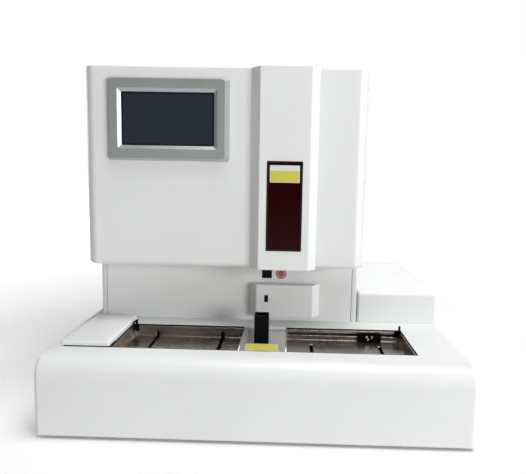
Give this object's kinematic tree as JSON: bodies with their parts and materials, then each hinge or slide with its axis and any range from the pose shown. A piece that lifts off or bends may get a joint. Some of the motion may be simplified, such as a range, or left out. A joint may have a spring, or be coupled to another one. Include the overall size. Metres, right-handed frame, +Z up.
{
  "type": "urine analyzer",
  "caption": "Benchtop urine analyzer with rack trays, an upper cabinet with a display, and a sampling lift behind a hinged column door.",
  "frame": {"origin": "on the surface it stands on, under the middle of the base", "axes": "+X to the right as seen from the front, -Y towards the user, +Z up"},
  "size_m": [0.74, 0.64, 0.65],
  "materials": {
    "white_cover": "satin moulded plastic",
    "white_trim": "satin moulded plastic",
    "silver_bezel": "silver-grey satin plastic",
    "dark_screen": "glossy dark panel",
    "red_window": "dark red clear plastic",
    "black_plastic": "black satin plastic",
    "black_gloss": "black window",
    "rubber": "matt rubber",
    "stainless": "brushed stainless sheet",
    "zinc_steel": "zinc plated sheet",
    "bright_steel": "ground bright steel",
    "aluminium": "milled aluminium",
    "motor": "black motor casing",
    "board": "green circuit board",
    "grey_plastic": "grey plastic",
    "clear_plastic": "pale plastic"
  },
  "bodies": {
    "chassis": {"base_cover": "white_cover", "base_pan": "zinc_steel", "rubber_feet": "rubber", "frame_uprights": "zinc_steel", "roof_plate": "zinc_steel", "shelf_plate": "zinc_steel", "transport_frame": "zinc_steel", "load_tray": "stainless", "unload_tray": "stainless", "bridge_plate": "stainless", "tube_sleeve": "black_plastic", "corner_brackets": "black_plastic", "hinge_lugs": "white_trim", "strip_bin": "grey_plastic", "neck_shell": "white_trim", "neck_panel": "white_cover", "reader_housing": "white_cover", "reader_window": "black_gloss", "scanner_engine": "black_plastic", "cabinet_shell": "white_cover", "rear_panel": "white_trim", "display_bezel": "silver_bezel", "touch_panel": "dark_screen", "display_module": "black_plastic", "strip_hopper": "clear_plastic", "guide_rods": "bright_steel", "drive_belts": "rubber", "stepper_motors": "motor", "wash_block": "black_plastic", "strip_bed": "clear_plastic", "reading_head": "black_plastic", "power_supply": "zinc_steel", "pump_body": "grey_plastic", "control_board": "board", "fan_frame": "black_plastic", "connector_plate": "zinc_steel", "power_inlet": "black_plastic", "data_ports": "bright_steel", "fluid_ports": "clear_plastic"},
    "column_door": {"column_door": "white_cover", "door_window": "red_window", "window_gasket": "rubber"},
    "waste_lid": {"left_lid": "white_cover"},
    "strip_cover": {"right_cover": "white_cover"},
    "traverse": {"lift_plate": "aluminium", "lift_motor": "motor", "lift_rail": "bright_steel", "traverse_block": "aluminium"},
    "lift_screw": {"lift_screw": "bright_steel"},
    "probe_carriage": {"lift_carriage": "aluminium", "probe_arm": "aluminium", "probe_needle": "bright_steel"},
    "load_pusher": {"load_pusher": "black_plastic"},
    "unload_pusher": {"unload_pusher": "black_plastic"},
    "cross_shuttle": {"cross_shuttle": "black_plastic"},
    "strip_comb": {"strip_comb": "grey_plastic"},
    "feeder_drum": {"feeder_drum": "grey_plastic"},
    "fan_rotor": {"fan_rotor": "black_plastic"},
    "pump_rotor": {"pump_rotor": "clear_plastic"},
    "rocker_switch": {"rocker_switch": "black_gloss"}
  },
  "joints": [
    {"name": "column_door_hinge", "type": "hinge", "parent": "chassis", "child": "column_door", "pos_m": [0.10422, -0.1463, 0.459], "axis": [0, 0, 1], "range_deg": [0, 110]},
    {"name": "waste_lid_hinge", "type": "hinge", "parent": "chassis", "child": "waste_lid", "pos_m": [-0.3433, -0.176, 0.146], "axis": [0, -1, 0], "range_deg": [0, 105]},
    {"name": "strip_cover_hinge", "type": "hinge", "parent": "chassis", "child": "strip_cover", "pos_m": [0.2865, 0.3053, 0.146], "axis": [-1, 0, 0], "range_deg": [0, 75]},
    {"name": "probe_traverse", "type": "slide", "parent": "chassis", "child": "traverse", "axis": [0, 1, 0], "range_m": [0, 0.15]},
    {"name": "probe_lift", "type": "slide", "parent": "traverse", "child": "probe_carriage", "axis": [0, 0, -1], "range_m": [0, 0.126]},
    {"name": "lift_screw_turn", "type": "hinge", "parent": "traverse", "child": "lift_screw", "pos_m": [0.072, -0.1185, 0.43], "axis": [0, 0, 1], "range_deg": [0, 5680]},
    {"name": "load_pusher_slide", "type": "slide", "parent": "chassis", "child": "load_pusher", "axis": [0, 1, 0], "range_m": [0, 0.118]},
    {"name": "unload_pusher_slide", "type": "slide", "parent": "chassis", "child": "unload_pusher", "axis": [0, 1, 0], "range_m": [0, 0.088]},
    {"name": "cross_shuttle_slide", "type": "slide", "parent": "chassis", "child": "cross_shuttle", "axis": [1, 0, 0], "range_m": [-0.14, 0.027]},
    {"name": "strip_comb_slide", "type": "slide", "parent": "chassis", "child": "strip_comb", "axis": [1, 0, 0], "range_m": [0, 0.014]},
    {"name": "feeder_drum_turn", "type": "hinge", "parent": "chassis", "child": "feeder_drum", "pos_m": [0.234, -0.003, 0.175], "axis": [0, 1, 0], "continuous": true},
    {"name": "fan_spin", "type": "hinge", "parent": "chassis", "child": "fan_rotor", "pos_m": [-0.229, 0.264, 0.538], "axis": [0, 1, 0], "continuous": true},
    {"name": "pump_spin", "type": "hinge", "parent": "chassis", "child": "pump_rotor", "pos_m": [-0.27, 0.178, 0.052], "axis": [0, 1, 0], "continuous": true},
    {"name": "power_rocker", "type": "hinge", "parent": "chassis", "child": "rocker_switch", "pos_m": [-0.2815, 0.299, 0.071], "axis": [1, 0, 0], "range_deg": [-9, 9]}
  ],
  "couplings": [
    {"joint": "lift_screw_turn", "follows": "probe_lift", "rad_per_m": 785.4}
  ]
}
